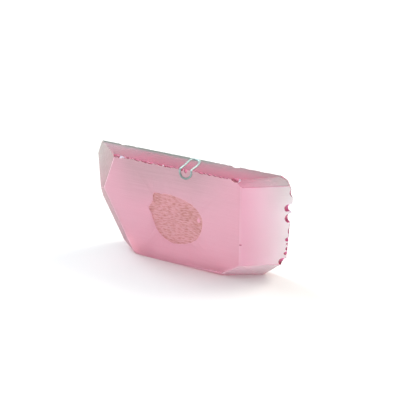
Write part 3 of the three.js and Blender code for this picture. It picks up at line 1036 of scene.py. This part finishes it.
def within_any(values, spans):
    return np.any([(values > low) & (values < high) for low, high in spans], axis=0)


def dust_runs(mesh, numbers):
    """For each corner of each face, how far along it the dust has changed: 0 at the start, 1 at the end."""
    places = read(mesh.vertices, "co", width=3)[read(mesh.loops, "vertex_index", np.int32)]
    face_of_corner = np.repeat(numbers, read(mesh.polygons, "loop_total", np.int32))
    run = np.zeros(len(places))
    for number in FACE_FINISH:
        mine = face_of_corner == number
        low, high = (np.array(at, float) for at in DUST_RUNS.get(number, FRONT_RUN))
        run[mine] = (places[mine] - low) @ (high - low) / ((high - low) @ (high - low))
    return run


def painted_glint_faces(numbers, x, y, z):
    """The chipped faces painted bluish white as a glint of light, from the numbers and the middles of all
    faces.
    """
    under_edge = (y < 0) & (z > HEIGHT - PAINTED_GLINT_BAND) & within_any(x, PAINTED_GLINT_SPANS)
    end_tips = (x > END_X) & within_any(z, PAINTED_GLINT_TIPS)
    return (numbers == CHIPPED) & (under_edge | end_tips)


def finish_faces(mesh):
    """Writes how each face is finished, from its number."""
    numbers = read(mesh.attributes["facet"].data, "value", np.int32)
    x, y, z = read(mesh.polygons, "center", width=3).T
    satin = np.zeros(len(numbers))
    start_share, end_share = np.zeros((2, len(numbers)))
    start_colour, end_colour = np.zeros((2, len(numbers), 3))
    for number, (rough, first_share, last_share, first_colour, last_colour) in FACE_FINISH.items():
        mine = numbers == number
        satin[mine] = rough
        start_share[mine] = first_share
        end_share[mine] = last_share
        start_colour[mine] = first_colour
        end_colour[mine] = last_colour
    # Painted glints: these chipped faces get a bluish-white film that stands in for light glinting on them
    glinting = painted_glint_faces(numbers, x, y, z)
    start_share[glinting] = end_share[glinting] = PAINTED_GLINT_SHARE
    start_colour[glinting] = end_colour[glinting] = PAINTED_GLINT_COLOUR
    tint = np.ones((len(numbers), 3))
    tint[numbers == TOP_FACE] = TOP_TINT
    tint[numbers == CHIPPED] = NICK_TINT
    tint[np.isin(numbers, (CHIPPED, THIN_EDGE, EASED_EDGE)) & (x > END_X)] = DEEP_TINT
    set_values(mesh, "satin", "FACE", satin)
    set_values(mesh, "dust_share_start", "FACE", start_share)
    set_values(mesh, "dust_share_end", "FACE", end_share)
    set_values(mesh, "upright", "FACE", np.isin(numbers, (LEFT_BEVEL, LEFT_STRIP, LEFT_SIDE, FLANK_FACE)))
    set_values(mesh, "skin", "FACE", numbers == SKIN)
    set_values(mesh, "veiled", "FACE", np.isin(numbers, (FRONT_FACE, RIGHT_BEVEL)))
    set_values(mesh, "top", "FACE", numbers == TOP_FACE)
    set_values(mesh, "run", "CORNER", dust_runs(mesh, numbers))
    set_vectors(mesh, "tint", "FACE", tint)
    set_vectors(mesh, "dust_start", "FACE", start_colour)
    set_vectors(mesh, "dust_end", "FACE", end_colour)
    for name in ("radii", "turn", "blow", "size", "chip", "inside", "behind"):
        if name in mesh.attributes:
            mesh.attributes.remove(mesh.attributes[name])


def tidy_mesh(mesh):
    """Triangles only, smooth except across the sharp edges."""
    made = bmesh.new()
    made.from_mesh(mesh)
    bmesh.ops.triangulate(made, faces=made.faces)
    bmesh.ops.dissolve_degenerate(made, edges=made.edges, dist=TOUCHING)
    made.normal_update()
    for face in made.faces:
        face.smooth = True
    for edge in made.edges:
        edge.smooth = len(edge.link_faces) == 2 and edge.calc_face_angle(0.0) < SHARP_EDGE
    made.to_mesh(mesh)
    made.free()


def chip_off(plate, material):
    """Takes the end bites, the edge chips and the saw nicks off the plate."""
    surface_kinds = {
        "Detail": "Int",
        "Ring spacing": "Float",
        "Ring height": "Float",
        "Lumps": "Float",
        "Grain": "Float",
    }
    chips = geometry_tree("shell chips", {"Seats": "Object", **surface_kinds}, build_chips)
    bites = chip_seats("end_bites", END_BITES, BITE_BLOW)
    knocks = chip_seats("edge_chips", EDGE_CHIPS, EDGE_BLOW)
    grow(plate, chips, Seats=bites, Material=material, **BITE_SURFACE)
    grow(plate, chips, Seats=knocks, Material=material, **EDGE_CHIP_SURFACE)
    run_kinds = {"From": "Vector", "To": "Vector", "Count": "Int", "Size": "Float", "Seed": "Int"}
    nicks = geometry_tree("saw nicks", run_kinds, build_nicks)
    for start, end, count, size, seed in NICK_RUNS:
        grow(plate, nicks, From=start, To=end, Count=count, Size=size, Seed=seed, Material=material)


def grown_plate(material, rod_tree):
    """The crystal: cut and chipped, with its patch of skin and the channel of the wire."""
    rod = rod_object("channel_rod", rod_tree, material, CHANNEL_RADIUS)
    plate = new_object("grown_plate", cut_plate())
    chip_off(plate, material)
    ridge_kinds = {name.replace("_", " "): "Float" for name in SKIN_RIDGES}
    skin = geometry_tree("grown skin", {"Pad": "Object", **ridge_kinds}, build_skin)
    grow(plate, skin, Pad=skin_pad(), Material=material, **SKIN_RIDGES)
    channel = geometry_tree("wire channel", {"Rod": "Object"}, build_channel)
    grow(plate, channel, Rod=rod, Material=material)
    make_plain(plate)
    bpy.data.objects.remove(rod)
    tidy_mesh(plate.data)
    finish_faces(plate.data)
    plate.data.transform(Matrix.Scale(MM, 4))
    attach(plate, "root")
    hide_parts("crystal")


def hanging_wire(material, rod_tree):
    wire = rod_object("hanging_wire", rod_tree, material, WIRE_RADIUS)
    wire.data.transform(Matrix.Scale(MM, 4))
    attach(wire, "root")
    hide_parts("wire_loop")


# ---- Camera, table and light ----


def direction_to(azimuth, elevation):
    """The way to a point at that azimuth (0 in front, 90 on the right) and elevation, in degrees."""
    around, above = math.radians(azimuth), math.radians(elevation)
    level = math.cos(above)
    return Vector((math.sin(around) * level, -math.cos(around) * level, math.sin(above)))


def set_camera():
    back = direction_to(VIEW_AZIMUTH, VIEW_ELEVATION)
    data = bpy.data.cameras.new("camera")
    data.lens = LENS
    data.sensor_width = SENSOR_WIDTH
    data.clip_start = NEAREST * MM
    data.clip_end = FARTHEST * MM
    camera = new_object("camera", data)
    camera.location = (Vector(VIEW_TARGET) + back * VIEW_DISTANCE) * MM
    camera.rotation_euler = back.to_track_quat("Z", "Y").to_euler()
    bpy.context.scene.camera = camera


def lay_table():
    mesh = bpy.data.meshes.new("table")
    reach, level = TABLE_REACH * MM, TABLE_LEVEL * MM
    corners = [(-reach, -reach, level), (reach, -reach, level), (reach, reach, level), (-reach, reach, level)]
    mesh.from_pydata(corners, [], [(0, 1, 2, 3)])
    mesh.materials.append(white_table())
    table = new_object("table", mesh)


def hang_light(name, azimuth, elevation, strength, colour, spread):
    data = bpy.data.lights.new(name, "SUN")
    data.energy = strength
    data.color = colour
    data.angle = math.radians(spread)
    light = new_object(name, data)
    light.rotation_euler = direction_to(azimuth, elevation).to_track_quat("Z", "Y").to_euler()


def light_scene():
    world = bpy.data.worlds.new("studio")
    world.use_nodes = True
    world.node_tree.nodes.clear()
    bench = Bench(world.node_tree)
    way = bench.node("ShaderNodeTexCoord", output="Generated")
    _, _, up = bench.split(way)
    ahead = direction_to(VIEW_AZIMUTH, 0)
    front = bench.node("ShaderNodeVectorMath", {"operation": "DOT_PRODUCT"}, {0: way, 1: ahead}, "Value")
    level = HORIZON_LIGHT + (OVERHEAD_LIGHT - HORIZON_LIGHT) * up.rising(*OVERHEAD_RANGE)
    studio = level * (1.0 + (FRONT_LIGHT - 1.0) * front.rising(*FRONT_RANGE))
    background = bench.node("ShaderNodeBackground", sockets={"Color": (1, 1, 1, 1), "Strength": studio})
    bench.node("ShaderNodeOutputWorld", sockets={"Surface": background})
    bpy.context.scene.world = world
    for name, lamp in LAMPS.items():
        hang_light(name, *lamp)
    bpy.context.scene.view_settings.view_transform = "Standard"


# ---- Making ----

set_camera()
beryl = pink_beryl()
wire_metal = dull_wire()
rods = geometry_tree("drawn wire", {"Radius": "Float"}, build_rod)
grown_plate(beryl, rods)
hanging_wire(wire_metal, rods)
lay_table()
light_scene()
